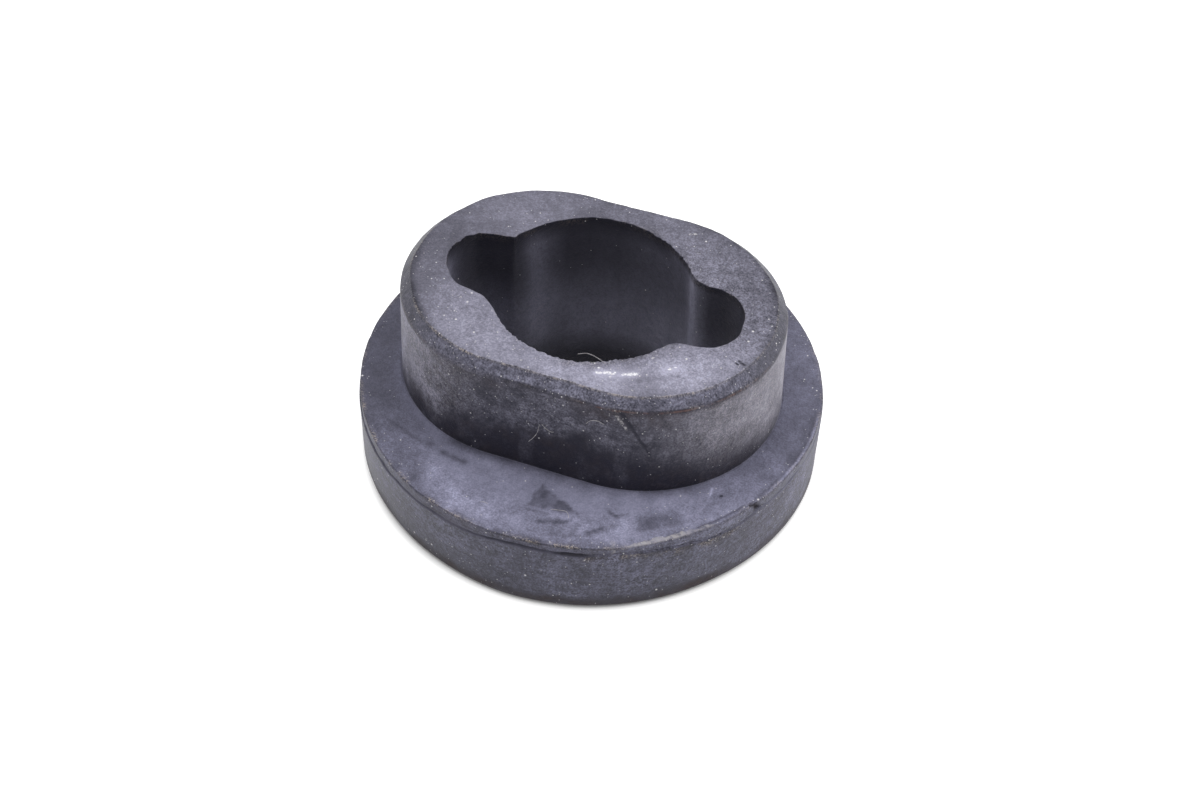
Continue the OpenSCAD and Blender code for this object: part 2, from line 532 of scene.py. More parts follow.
# Radii of the flange's top face between which its outer part, the part by the lip and the residue begin
OUTER_RING, LIP_RING, RESIDUE_RING = (15.5, 17.5), (17.3, 18.8), (15.8, 17.8)
outer_ring = step(*OUTER_RING, RHO)
beside_boss = hump(RHO - base_r, 0.8)
flange_bloom_and_shade = by_angle(*FLANGE_BLOOM) * (1 + 0.24 * fbm(P, 3.0, 82, 4) + 0.18 * warp)
flange_bloom_and_shade = flange_bloom_and_shade * (1 + 0.35 * outer_ring * fbm(P, 1.3, 97, 3))
flange_bloom_and_shade -= by_angle(*BOSS_SHADE) * beside_boss
flange_bloom_and_shade -= (0.15 * span(-92, -42, 6) + 0.26 * bell(-122, 7)) * step(*LIP_RING, RHO)
flange_bloom_and_shade += corner_patches(PALE_PATCHES)
dark_marks = strokes(DARK_STREAKS) + blobs(DARK_SPOTS) + corner_patches(DARK_PATCHES)
flange_bloom_and_shade = flange_bloom_and_shade * (1 - np.clip(dark_marks * (1 + 0.6 * fine_warp), 0, 0.8))
flange_bloom_and_shade += strokes(LIGHT_STREAKS)

# Top face: paler towards the front, which is partly painted sheen, darker along its edges, with painted
# glints that are also glossier, a pale streak and a dark one
TOP_TONE = [
    (-180, -0.17), (-165, -0.07), (-150, 0.0), (-135, 0.05), (-120, 0.10), (-110, 0.05), (-100, 0.17),
    (-90, 0.32), (-80, 0.32), (-70, 0.26), (-60, 0.20), (-53, -0.14), (-47, -0.14), (-40, 0.11),
    (-20, 0.30), (-10, 0.24), (0, 0.01), (10, -0.03), (25, 0.07), (45, 0.04), (70, 0.07), (80, 0.03),
    (95, 0.02), (112, -0.06), (125, 0.0), (133, 0.13), (142, 0.13), (150, 0.06), (160, 0.0),
]
TOP_EDGE = [
    (-180, 0.16), (-165, 0.28), (-150, 0.50), (-140, 0.34), (-132, 0.16), (-110, 0.12), (-60, 0.18),
    (-30, 0.26), (0, 0.22), (20, 0.22), (45, 0.10), (90, 0.05), (150, 0.06),
]
# Pale spots: the three on the right of the front paint sheen there, and the faint one on the left is paler
# tone
TOP_SPOTS = [
    (8.5, -7.2, 4.5, 2.4, 25, 0.30), (-9.0, -6.0, 4.0, 3.0, -20, 0.08), (9.3, -6.6, 1.0, 0.6, 38, 0.70),
    (5.2, -8.7, 2.4, 0.8, 18, 0.09),
]
PALE_STREAK, DARK_STREAK = (-12.5, 4.5, -4.0, 10.0, 0.7), (7.2, -8.9, 10.3, -7.1, 0.30)
# Painted glints: pale streaks where highlights fall on the top
GLINT_STREAKS = [(3.85, -9.25, 5.0, -8.9, 0.34, 1.0), (5.8, -8.75, 6.7, -8.32, 0.38, 1.0)]
SHEEN_SPOT = (9.6, -6.3, 1.3, 0.8, 35)
near_mouth = hump(RHO - mouth_r, 0.75)
near_mouth = near_mouth * (span(-88, -38, 8) + 0.5 * span(-38, -15, 8) + 0.3 * span(15, 80, 8))
near_outside = hump(top_r - RHO, 0.45)
across_top = (RHO - mouth_r) / (top_r - mouth_r)
# The rise towards the front, here and in the tone by angle, is partly painted sheen
top_bloom_and_highlights = 0.43 + 0.14 * fbm(P, 2.2, 84, 4) + 0.06 * warp + 0.30 * step(2, 9, -Y) + by_angle(*TOP_TONE)
top_bloom_and_highlights += blobs(TOP_SPOTS)
top_bloom_and_highlights += 0.16 * stroke(*PALE_STREAK) * (0.5 + warp)
top_bloom_and_highlights -= 0.22 * stroke(*DARK_STREAK)
top_bloom_and_highlights -= 0.46 * near_mouth * (1 + 0.6 * fine_warp)
top_bloom_and_highlights -= by_angle(*TOP_EDGE) * near_outside * (1 + 0.8 * warp)
top_bloom_and_highlights += (0.26 * span(15, 68, 8) + 0.34 * span(-161, -143, 5)) * (0.5 - across_top)
glint = np.clip(strokes(GLINT_STREAKS), 0, 1)
sheen = np.clip(glint + 0.35 * blob(*SHEEN_SPOT), 0, 1)
# The painted glints lift the bloom along their streaks
top_bloom_and_highlights += 0.46 * glint

# Boss wall: black near the flange, partly bare rubber and partly painted shade, and dusty higher up,
# between two heights at each angle
WALL_BLACK = [
    (-180, 6.6), (-150, 6.8), (-140, 8.2), (-132, 7.2), (-120, 10.2), (-105, 10.6), (-88, 10.6),
    (-78, 11.2), (-72, 12.0), (-66, 10.8), (-58, 10.2), (-48, 8.8), (-38, 7.8), (-25, 6.4), (-10, 6.0),
    (5, 5.2), (90, 6.6),
]
WALL_PALE = [
    (-180, 9.7), (-150, 10.8), (-140, 11.8), (-132, 11.0), (-120, 12.6), (-105, 12.2), (-88, 12.4),
    (-78, 12.8), (-72, 14.0), (-66, 13.2), (-58, 13.6), (-48, 13.8), (-38, 13.2), (-25, 13.0),
    (-10, 11.8), (5, 10.5), (90, 9.5),
]
# Dust by angle: lowest at the front and highest on the sides, where it also paints the light that falls on
# them
WALL_DUST_AND_LIGHT = [
    (-180, 0.66), (-160, 0.74), (-150, 0.66), (-138, 0.58), (-128, 0.31), (-120, 0.16), (-108, 0.15),
    (-98, 0.26), (-84, 0.28), (-72, 0.25), (-62, 0.27), (-50, 0.25), (-38, 0.48), (-25, 0.64),
    (-8, 0.80), (5, 1.04), (15, 1.08), (40, 0.6), (90, 0.5),
]
ragged_z = Z + 0.9 * fbm(P, 3.0, 85, 4) + 0.3 * fine_warp
wall_rise = step(by_angle(*WALL_BLACK), by_angle(*WALL_PALE), ragged_z)
wall_clouds = 0.60 * fbm(P, 1.6, 86, 4) + 0.90 * span(-135, -40, 10) * fbm(P, 0.7, 83, 3)
wall_bloom_light_and_shade = by_angle(*WALL_DUST_AND_LIGHT) * wall_rise * (1 + wall_clouds)
wall_bloom_light_and_shade = wall_bloom_light_and_shade + 0.09 * step(0.12, 0.6, upright_noise(0.4, 1.2, 98, 3))
wall_bloom_light_and_shade = wall_bloom_light_and_shade * (1 - 0.6 * scratch)

# Chamfer: palest at the front, where its lower edge has a dark line
CHAMFER_BLOOM = [
    (-180, 0.08), (-150, 0.11), (-138, 0.20), (-130, 0.36), (-110, 0.36), (-100, 0.40), (-72, 0.39),
    (-52, 0.32), (-40, 0.45), (-28, 0.48), (-16, 0.17), (-8, 0.09), (20, 0.10), (40, 0.15),
]
cham_bloom = by_angle(*CHAMFER_BLOOM) * (1 + 0.5 * fbm(P, 1.5, 89, 3))
cham_line = np.clip((0.75 * span(-111, -20, 5) + 0.08) * (0.9 + 0.9 * warp), 0, 0.95)

# Rim and lip: dark towards the foot, partly dirt and partly painted contact shade, pitted below the parting
# line and streaked with dust at one place; the parting line's slot and groove are painted dark as shade
LIP_BLOOM = [
    (-180, 0.26), (-125, 0.26), (-110, 0.26), (-96, 0.28), (-78, 0.36), (-70, 0.27), (-62, 0.26),
    (-50, 0.38), (-34, 0.42), (-29, 0.28), (0, 0.30),
]
# Bloom along the parting line, dropping to nothing in the slot and low in the deep groove: painted shade
SEAM_BLOOM_AND_SHADE = [
    (-180, 0.20), (-115, 0.18), (-105, 0.24), (-96, 0.17), (-94, 0.08), (-84, 0.08), (-79, 0.16),
    (-76, 0.0), (-71, 0.0), (-69, 0.22), (-40, 0.28), (-30, 0.30), (-25, 0.30), (60, 0.26),
]
PITS_DROP, PITS_H = 0.25, 0.55
near_seam = hump(Z - seam_z, 0.20)
# Darker towards the foot: dirt together with painted contact shade
foot_dark = (1 - step(0.8, 1.7, Z + 0.3 * warp)) * (0.45 + 0.45 * span(-115, -35, 10))
dark_left = span(-146, -84, 12) * (1 - step(1.5, 4.8, Z + 0.6 * warp))
dark_front = span(-72, -42, 8) * (1 - step(1.0, 2.6, Z + 0.4 * warp))
pitted = span(-72, -33, 4) * hump(Z - seam_z + PITS_DROP, PITS_H)
pits = pitted * step(-0.15, 0.20, fbm(P, 0.4, 94, 2))
dust_streaks = np.clip(0.5 + 1.4 * upright_noise(0.2, 0.6, 96, 2), 0, 1.5)
dust_streaks = bell(-61, 5) * step(1.0, 3.5, Z) * dust_streaks
rim_bloom_and_shade = 0.21 + 0.18 * upright_noise(0.5, 2.0, 87, 4) + 0.11 * span(-35, 40, 10) + 0.24 * dust_streaks
rim_bloom_and_shade = rim_bloom_and_shade * (1 - 0.62 * dark_left) * (1 - 0.45 * dark_front)
rim_bloom_and_shade = rim_bloom_and_shade * (1 - foot_dark) * (1 - 0.60 * pits)
# The lip is darkened next to the parting line: painted shade
lip_bloom_and_shade = by_angle(*LIP_BLOOM) * (1 + 0.3 * fbm(P, 1.2, 88, 3)) * (1 - 0.2 * near_seam)
seam_bloom_and_shade = by_angle(*SEAM_BLOOM_AND_SHADE) * (1 + 0.5 * fine_warp)

# Bore: light upright streaks, the brightest a painted highlight down the right cusp, a painted reflection
# of the lit floor low down, and painted shade, black, at the very foot and just under the upper edge
# The peak at 31 to 36 degrees is a painted highlight on the right cusp
BORE_STREAKS = [
    (20, 0.08), (24, 0.18), (28, 0.50), (31, 0.96), (36, 0.92), (40, 0.55), (46, 0.32), (56, 0.31),
    (66, 0.29), (80, 0.22), (95, 0.11), (125, 0.07), (134, 0.20), (142, 0.38), (147, 0.36), (151, 0.18),
    (154, 0.09), (157, 0.06), (166, 0.04), (171, 0.09), (176, 0.24), (181, 0.48), (186, 0.56), (190, 0.44),
]
streak_angle = DEG + 0.5 * span(10, 60, 5) * (BODY_H - Z)
# Nothing pale below about 2.5 mm: painted shade at the very foot
bore_bloom_light_and_shade = np.interp(streak_angle, *zip(*BORE_STREAKS), period=360) * step(2.5, 6.0, Z)
# A painted reflection of the lit floor, fainter low down at the back left
floor_reflection_shape = 1 - 0.45 * span(124, 157, 5) * (1 - step(5.0, 9.0, Z))
bore_bloom_light_and_shade += 0.40 * step(1.9, 4.4, Z) * (1 - step(6.0, 13.5, Z)) * floor_reflection_shape
bore_bloom_light_and_shade = bore_bloom_light_and_shade * (1 + 0.25 * upright_noise(0.3, 2.0, 90, 3))
# Painted shade just under the upper edge
bore_bloom_light_and_shade = bore_bloom_light_and_shade * (1 - 0.85 * span(60, 184, 6) * step(BODY_H - 1.3, BODY_H - 0.7, Z))

# The bloom of all faces together, with the painted light and shade that the faces carry
bloom = ON_FLANGE * flange_bloom_and_shade + on("edge") * 0.6 * flange_bloom_and_shade
bloom += on("top") * top_bloom_and_highlights + on("chamhi") * np.where(T < 0.5, cham_bloom, top_bloom_and_highlights)
bloom += on("mouth") * np.where(T < 0.5, top_bloom_and_highlights, 0.3 * bore_bloom_light_and_shade)
bloom += on("cham") * cham_bloom + on("chamlo") * cham_bloom * (1 - cham_line) + on("wall") * wall_bloom_light_and_shade
bloom += on("root") * np.where(T < 0.5, 0.7 * flange_bloom_and_shade, wall_bloom_light_and_shade)
bloom += on("rim") * rim_bloom_and_shade + on("lip") * lip_bloom_and_shade
bloom += on("seam") * np.where(T < 0.1, rim_bloom_and_shade, seam_bloom_and_shade)
bloom += on("bore", "drip") * bore_bloom_light_and_shade + on("under") * 0.25
bloom += ON_EDGE * fin * (0.80 * ridge_right - 0.36 * ridge_front + 0.05 * curl)
bloom -= ON_EDGE * 0.26 * span(-118, -62, 5) * (1 - step(0.2, 0.7, INWARD))
# Painted shade in the groove inside the flash ridge
bloom = bloom * (1 - on("brim") * gutter * (0.80 * ridge_front + 0.55 * ridge_right))
bloom = bloom * (1 - on("edge", "lip", "brim") * 0.8 * nick)
attribute("bloom", bloom, MOST_BLOOM)

# Where the bloom is grey rather than blue
WARM_WALL = [(-180, 0.45), (-130, 0.55), (-60, 0.60), (-30, 0.85), (20, 1.0), (90, 0.7)]
WARM_RIM = [(-180, 0.1), (-130, 0.0), (-50, 0.0), (-20, 0.1), (20, 0.2), (90, 0.2)]
warm = ON_TOP * 0.50 + on("wall") * by_angle(*WARM_WALL) + on("chamlo", "cham") * 0.30 + on("chamhi") * 0.8
attribute("warm", warm + on("rim", "seam", "lip", "edge") * by_angle(*WARM_RIM) + on("bore") * 0.4)

# How strongly the grain shows
MOST_RUGGED = 2.2
WALL_RUGGED = [
    (-180, 0.8), (-140, 0.9), (-115, 1.0), (-60, 1.0), (-42, 0.7), (-20, 0.5), (20, 0.5), (90, 0.6),
]
TOP_RUGGED = [
    (-180, 0.38), (-140, 0.42), (-90, 0.40), (-50, 0.34), (-20, 0.50), (3, 0.92), (25, 0.92), (60, 0.60),
    (120, 0.40),
]
rugged = ON_FLANGE * (0.25 + 0.17 * outer_ring)
rugged += ON_TOP * (by_angle(*TOP_RUGGED) * (0.5 + 0.5 * calm) + 0.35 * near_mouth)
rugged += on("wall") * by_angle(*WALL_RUGGED) + ON_CHAMFER + on("lip", "edge", "rim", "foot")
rugged += on("rim", "seam") * 1.2 * pitted + on("rim") * 0.3
attribute("rugged", rugged + on("under") * 0.6 + on("bore", "drip", "root", "seam") * 0.3, MOST_RUGGED)
attribute("hairlines", on("rim", "lip") * 0.7 + on("wall") * 0.25)

# Flecks of dry residue, and white specks; both are denser on the painted glints, where they break up the
# painted highlight
SPECK_SPOTS = [(10.3, -12.6, 0.9, 0.5, 20, 0.9), (-3.5, -15.0, 2.0, 2.0, 0, 0.2)]
residue = ON_FLANGE * (0.08 + 0.34 * span(-140, -62, 10) * step(*RESIDUE_RING, RHO))
residue += on("top") * (0.40 + 0.30 * step(0, 8, -Y) + 0.6 * glint) + ON_CHAMFER * 0.50
residue += on("wall") * (0.24 + wall_rise * 0.30) + on("rim") * 0.44 * (1 - foot_dark) + on("lip") * 0.30
attribute("residue", residue * np.clip(0.75 + 0.8 * fbm(P, 2.6, 93, 3), 0, 1.3))
specky = ON_TOP * (0.35 + 0.30 * step(-2, 8, -Y) + 0.8 * glint)
specky += ON_CHAMFER * (0.5 + 0.4 * span(-150, -30, 10))
specky += on("wall") * (0.18 + 0.4 * wall_rise) + on("rim", "lip") * 0.35 + ON_EDGE * 0.8
specky += on("flange") * (0.09 + blobs(SPECK_SPOTS))
attribute("specky", specky + on("bore") * 0.04 + on("rim", "seam") * 0.7 * pitted)

# Tan dust caught along the edges
CLUMP_AT, CLUMP_W = -63.6, 0.8
untorn = 1 - np.clip(torn, 0, 1)
edge_line = hump(INWARD - 0.14, 0.16)
low_edge = hump(Z - WALL_TOP - 0.02, 0.18)
dust = ON_EDGE * edge_line * (0.35 + 0.5 * span(-150, -60, 6)) * untorn
dust += on("wall", "chamlo", "cham") * low_edge * (0.10 + 0.12 * span(-70, -15, 10))
dust += on("chamhi") * (0.25 + 0.35 * span(-150, -30, 10)) + on("mouth") * 0.12
dust += on("top") * 0.26 * near_mouth + on("rim") * 0.55 * pits
dust = dust * step(-0.35, 0.5, fbm(P, 1.1, 91, 3))
dust += on("wall") * 0.12 * wall_rise * (span(-175, -120, 10) + span(-40, 30, 12))
attribute("dust", dust)

# Cream on the torn strip and in a clump beside it, and rust along the chamfer's lower edge
clump = bell(CLUMP_AT, CLUMP_W) * on("brim", "edge", "lip", "seam", "rim") * step(6.3, 6.6, Z)
cream = ON_EDGE * 0.9 * strip * (0.8 + 0.5 * fine_warp)
attribute("cream", cream + 0.7 * clump * step(-0.2, 0.3, fine_warp))
rust = on("chamlo") * (T > 0.2) * (T < 0.6) * (0.9 * span(-72, -12, 8) + 0.25 * span(-150, -128, 8))
attribute("rust", rust * np.clip(0.50 + 1.2 * warp + 1.0 * fine_warp, 0, 1))

# Brown stain under the chamfer, in the wall's black part and on the lip; round the foot and in the groove
# inside the flash ridge it is partly painted shade
BLOTCH_Z, BLOTCH_H = 15.4, 0.8
blotch = hump(Z - BLOTCH_Z, BLOTCH_H) * (span(-76, -44, 5) + 0.6 * span(-124, -106, 5)) * (0.5 + warp)
stain = on("wall", "chamlo") * hump(Z - WALL_TOP + 0.2, 0.35) * (0.2 + 0.3 * span(-78, -18, 8))
stain += on("wall") * (0.30 * (1 - wall_rise) * (0.6 + fine_warp) + 0.9 * blotch)
stain += on("foot") + on("rim") * (foot_dark + 0.35 * pits + 0.20 * pitted + 0.28 * span(-35, 40, 12))
stain += on("lip") * (0.25 * span(-115, -66, 6) + 0.05) + on("edge") * 0.25 * untorn
stain += on("seam") * 0.2 * (1 - span(-27, 60, 2)) + on("brim") * 0.3 * gutter * ridge
stain += on("edge", "lip", "brim") * 0.8 * nick
attribute("stain", stain * np.clip(0.8 + 0.8 * fbm(P, 1.3, 95, 3), 0, 1.2))
attribute("polish", on("top") * sheen)


# Node helpers

def node(tree, kind, **values):
    """A new node, with values for its inputs or its settings."""
    n = tree.nodes.new(kind)
    for k, v in values.items():
        if k in n.inputs:
            n.inputs[k].default_value = v
        else:
            setattr(n, k, v)
    return n


def calc(tree, op, a, b):
    """One operation on two numbers or sockets."""
    n = tree.nodes.new("ShaderNodeMath")
    n.operation = op
    for k, v in enumerate((a, b)):
        if isinstance(v, (int, float)):
            n.inputs[k].default_value = v
        else:
            tree.links.new(v, n.inputs[k])
    return n.outputs[0]


def mix_colour(tree, factor, a, b):
    n = tree.nodes.new("ShaderNodeMix")
    n.data_type = "RGBA"
    tree.links.new(factor, n.inputs["Factor"])
    for name, v in (("A", a), ("B", b)):
        socket = [s for s in n.inputs if s.name == name and s.type == "RGBA"][0]
        if isinstance(v, tuple):
            socket.default_value = (*v, 1)
        else:
            tree.links.new(v, socket)
    return [s for s in n.outputs if s.type == "RGBA"][0]


def ramp(tree, value, lo, hi, to_lo=0.0, to_hi=1.0):
    """A value's smooth change from one number to another as it goes from lo to hi."""
    n = tree.nodes.new("ShaderNodeMapRange")
    n.interpolation_type = "SMOOTHSTEP"
    tree.links.new(value, n.inputs["Value"])
    n.inputs["From Min"].default_value = lo
    n.inputs["From Max"].default_value = hi
    n.inputs["To Min"].default_value = to_lo
    n.inputs["To Max"].default_value = to_hi
    return n.outputs["Result"]


def new_material(name):
    material = bpy.data.materials.new(name)
    material.use_nodes = True
    material.node_tree.nodes.clear()
    return material, material.node_tree


# Rubber: black, with pale bloom, brown stain, tan dust and white specks, which also carry painted light and
# shade, and painted glints

BLACK = (0.0150, 0.0145, 0.0220)
PALE = (0.455, 0.455, 0.635)
WARM = (0.475, 0.458, 0.530)
# BROWN also paints the contact shade round the foot
BROWN = (0.034, 0.024, 0.022)
RUST = (0.115, 0.058, 0.047)
TAN = (0.42, 0.36, 0.31)
CREAM = (0.45, 0.425, 0.43)
SPECK = (0.70, 0.68, 0.70)
# SHINE is the near-white colour of the painted glints
SHINE = (0.92, 0.91, 0.95)
SPECULAR, SPECULAR_TINT = 0.38, (0.82, 0.81, 1.0, 1)
BUMP_STRENGTH, BUMP_DEPTH = 0.5, 0.03


def level_lines(z, *lines):
    """Lines on a level face; each has its two ends and its half width."""
    return [((x0, y0, z), (x1, y1, z), width) for x0, y0, x1, y1, width in lines]


# Fine marks as straight lines between two points, each with its half width: black, white and painted glints
BLACK_LINES = [
    (*SCRATCH, 0.22),
    (SCRATCH[0], 0.55 * SCRATCH[0] + 0.45 * SCRATCH[1], 0.30),
    ((8.0, -11.45, 13.9), (9.2, -11.15, 11.6), 0.13),
    *level_lines(BODY_H, (13.94, -3.87, 14.48, -4.14, 0.20), (13.75, -4.15, 13.95, -4.25, 0.14)),
    *level_lines(FLANGE_H, (14.95, -9.6, 15.05, -9.55, 0.14)),
]
WHITE_LINES = [
    ((6.48, -11.80, 15.65), (6.90, -11.72, 14.95), 0.20),
    ((7.15, -11.68, 14.6), (7.3, -11.66, 14.3), 0.14),
    ((-1.02, -11.06, 16.75), (-0.92, -10.9, 16.85), 0.12),
    *level_lines(
        BODY_H,
        (5.34, 9.46, 5.82, 9.68, 0.15), (-4.95, -10.74, -4.85, -10.70, 0.14),
        (-7.04, -10.12, -6.98, -10.1, 0.12), (-9.79, -5.17, -9.74, -5.14, 0.12),
        (7.36, -6.1, 7.44, -5.95, 0.11), (7.06, -10.05, 7.12, -10.03, 0.12),
        (-2.31, -10.17, -2.25, -10.15, 0.10),
    ),
]
# Painted glints: near-white lines where highlights fall on the top
GLINT_LINES = level_lines(
    BODY_H,
    (3.82, -9.24, 4.10, -9.16, 0.17), (4.40, -9.02, 4.75, -8.92, 0.22), (3.74, -8.68, 3.80, -8.66, 0.11),
    (5.10, -8.90, 5.16, -8.70, 0.13), (5.80, -8.72, 6.00, -8.60, 0.15), (6.25, -8.50, 6.75, -8.28, 0.25),
    (4.95, -9.30, 5.00, -9.28, 0.10), (9.40, -6.45, 9.48, -6.40, 0.10), (9.00, -6.80, 9.20, -6.70, 0.12),
)


def make_rubber():
    material, tree = new_material("rubber")
    out = node(tree, "ShaderNodeOutputMaterial")
    shader = node(tree, "ShaderNodeBsdfPrincipled")
    shader.inputs["Specular IOR Level"].default_value = SPECULAR
    shader.inputs["Specular Tint"].default_value = SPECULAR_TINT
    tree.links.new(shader.outputs[0], out.inputs[0])
    where = node(tree, "ShaderNodeTexCoord").outputs["Object"]

    def cloudy(scale, detail, rough, stretch=(1, 1, 1)):
        """Noise from about -1 to 1, with that many cells a metre."""
        n = node(tree, "ShaderNodeTexNoise", Scale=scale, Detail=detail, Roughness=rough)
        squeezed = node(tree, "ShaderNodeVectorMath", operation="MULTIPLY")
        squeezed.inputs[1].default_value = stretch
        tree.links.new(where, squeezed.inputs[0])
        tree.links.new(squeezed.outputs[0], n.inputs["Vector"])
        return ramp(tree, n.outputs["Fac"], 0.32, 0.68, -1.0, 1.0)

    def mask(name):
        return node(tree, "ShaderNodeAttribute", attribute_name=name).outputs["Fac"]

    def joined(op, values):
        """Values put together by one operation, from the first to the last."""
        total = values[0]
        for value in values[1:]:
            total = calc(tree, op, total, value)
        return total

    def times(*values):
        return joined("MULTIPLY", values)

    def plus(*values):
        return joined("ADD", values)

    def most(*values):
        return joined("MAXIMUM", values)

    def dots(scale, share, small, large):
        """Scattered dots: up to the given share of cells hold one, by the mask."""
        cells = node(tree, "ShaderNodeTexVoronoi", Scale=scale)
        tree.links.new(where, cells.inputs["Vector"])
        pick = node(tree, "ShaderNodeSeparateColor")
        tree.links.new(cells.outputs["Color"], pick.inputs[0])
        chosen = calc(tree, "GREATER_THAN", plus(pick.outputs[0], times(mask("specky"), share)), 1.0)
        return times(chosen, ramp(tree, cells.outputs["Distance"], small, large, 1.0, 0.0))

    def line_mark(start, end, width):
        """1 along a straight line between two points, falling to 0 at its half width."""
        start, reach = Vector(start) * MM, (Vector(end) - Vector(start)) * MM
        offset = node(tree, "ShaderNodeVectorMath", operation="SUBTRACT")
        offset.inputs[1].default_value = start
        tree.links.new(where, offset.inputs[0])
        along = node(tree, "ShaderNodeVectorMath", operation="DOT_PRODUCT")
        along.inputs[1].default_value = reach / reach.length_squared
        tree.links.new(offset.outputs["Vector"], along.inputs[0])
        share = calc(tree, "MINIMUM", calc(tree, "MAXIMUM", along.outputs["Value"], 0.0), 1.0)
        nearest = node(tree, "ShaderNodeVectorMath", operation="SCALE")
        nearest.inputs[0].default_value = reach
        tree.links.new(share, nearest.inputs["Scale"])
        gone = node(tree, "ShaderNodeVectorMath", operation="DISTANCE")
        tree.links.new(offset.outputs["Vector"], gone.inputs[0])
        tree.links.new(nearest.outputs["Vector"], gone.inputs[1])
        return ramp(tree, gone.outputs["Value"], 0.35 * width * MM, width * MM, 1.0, 0.0)

    def line_marks(lines):
        return most(*[line_mark(*line) for line in lines])

    mottle = cloudy(1000, 4, 0.6)
    worms = cloudy(2800, 2, 0.5)
    grain = cloudy(6500, 2, 0.6)
    hairlines = times(cloudy(1100, 3, 0.7, (0.25, 0.25, 4.0)), mask("hairlines"))
    texture = plus(times(mottle, 0.28), times(worms, 0.28), times(grain, 0.50), times(hairlines, 0.40))
    amount = times(mask("bloom"), plus(1.0, times(texture, mask("rugged"))))
    flecks = ramp(tree, plus(times(grain, 0.6), times(worms, 0.5), times(mottle, 0.3)), 0.25, 0.75)
    amount = plus(amount, times(flecks, mask("residue"), 0.22))
    pale = mix_colour(tree, mask("warm"), PALE, WARM)
    colour = mix_colour(tree, times(amount, 1 / MOST_BLOOM), BLACK, pale)
    specks = most(dots(1000, 0.25, 0.06, 0.12), dots(2100, 0.22, 0.08, 0.17))
    specks = most(specks, times(dots(4600, 0.20, 0.12, 0.26), 0.8))
    white = times(line_marks(WHITE_LINES), ramp(tree, grain, -0.6, 0.5, 0.1, 0.65))
    glints = line_marks(GLINT_LINES)
    layers = [
        (times(mask("stain"), ramp(tree, worms, -1.0, 0.6, 0.6, 1.0)), BROWN),
        (times(mask("rust"), ramp(tree, worms, -0.8, 0.4, 0.3, 1.0)), RUST),
        (times(mask("dust"), ramp(tree, grain, -0.2, 0.5)), TAN),
        (times(mask("cream"), ramp(tree, worms, -1.0, 0.2, 0.35, 1.0)), CREAM),
        (times(line_marks(BLACK_LINES), ramp(tree, worms, -0.8, 0.8, 1.0, 0.75)), BLACK),
        (most(specks, white), SPECK),
        # The painted glints, in near-white
        (times(glints, ramp(tree, grain, -0.7, 0.2, 0.35, 1.0)), SHINE),
    ]
    for share, layer_colour in layers:
        colour = mix_colour(tree, share, colour, layer_colour)
    tree.links.new(colour, shader.inputs["Base Color"])
    polish = most(times(mask("polish"), 0.6), glints)
    rough = plus(0.42, times(amount, 0.25), times(mask("stain"), 0.25), times(polish, -0.50))
    tree.links.new(rough, shader.inputs["Roughness"])
    bump = node(tree, "ShaderNodeBump", Strength=BUMP_STRENGTH, Distance=BUMP_DEPTH * MM)
    relief = plus(times(mottle, 0.5), times(worms, 0.5), times(grain, 0.5))
    tree.links.new(times(relief, plus(1.0, times(polish, -0.92))), bump.inputs["Height"])
    tree.links.new(bump.outputs[0], shader.inputs["Normal"])
    return material


body.data.materials.append(make_rubber())
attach(body, "root")
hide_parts("damper_body")


# Lint: short pale hairs that cling to the rubber, each a few points of its run

LINT_COLOUR, LINT_SHADE = (0.52, 0.50, 0.52), (0.34, 0.32, 0.34)
LINT_R, LINT_SIDES, LINT_STEPS, LINT_TIP = 0.024, 6, 6, 0.35
# Heights of the hairs that lie on the flange, and of the one that reaches over the bore
LIES_Z, OVER_Z = FLANGE_H + 0.02, BODY_H + 0.30
HAIRS = [
    [
        (4.2, -8.1, BODY_H + 0.04), (3.14, -7.89, OVER_Z), (2.6, -7.82, OVER_Z + 0.02),
        (2.29, -7.84, OVER_Z), (1.73, -8.16, OVER_Z),
    ],
    [(-0.95, -12.1, 10.1), (-0.45, -12.1, 10.85), (-0.15, -12.07, 11.55), (0.0, -12.05, 12.4)],
    [(0.2, -12.05, 12.6), (0.6, -12.05, 12.2), (0.95, -12.05, 12.0), (1.25, -12.05, 12.05)],
    [(4.0, -12.06, 14.10), (4.35, -12.05, 14.58), (4.95, -12.03, 14.78), (5.5, -12.0, 14.55)],
    [(-4.02, -11.02, 16.95), (-4.10, -11.15, 16.85), (-4.08, -11.3, 16.65), (-3.85, -11.45, 16.45)],
    [
        (2.55, -16.05, LIES_Z), (3.15, -15.9, LIES_Z), (3.8, -15.8, LIES_Z), (4.15, -16.1, LIES_Z),
        (4.25, -16.4, LIES_Z),
    ],
    [(-3.05, -17.4, LIES_Z), (-2.7, -17.3, LIES_Z), (-2.35, -17.35, LIES_Z)],
]


def smooth_run(points):
    """Points along a smooth curve through the given ones."""
    p = [Vector(q) for q in points]
    p = [p[0] * 2 - p[1], *p, p[-1] * 2 - p[-2]]
    out = []
    for a, b, c, d in zip(p, p[1:], p[2:], p[3:]):
        for k in range(LINT_STEPS):
            t = k / LINT_STEPS
            out.append((b * 2 + (c - a) * t + (a * 2 - b * 5 + c * 4 - d) * t * t
                        + (b * 3 - a - c * 3 + d) * t**3) / 2)
    return out + [p[-2]]


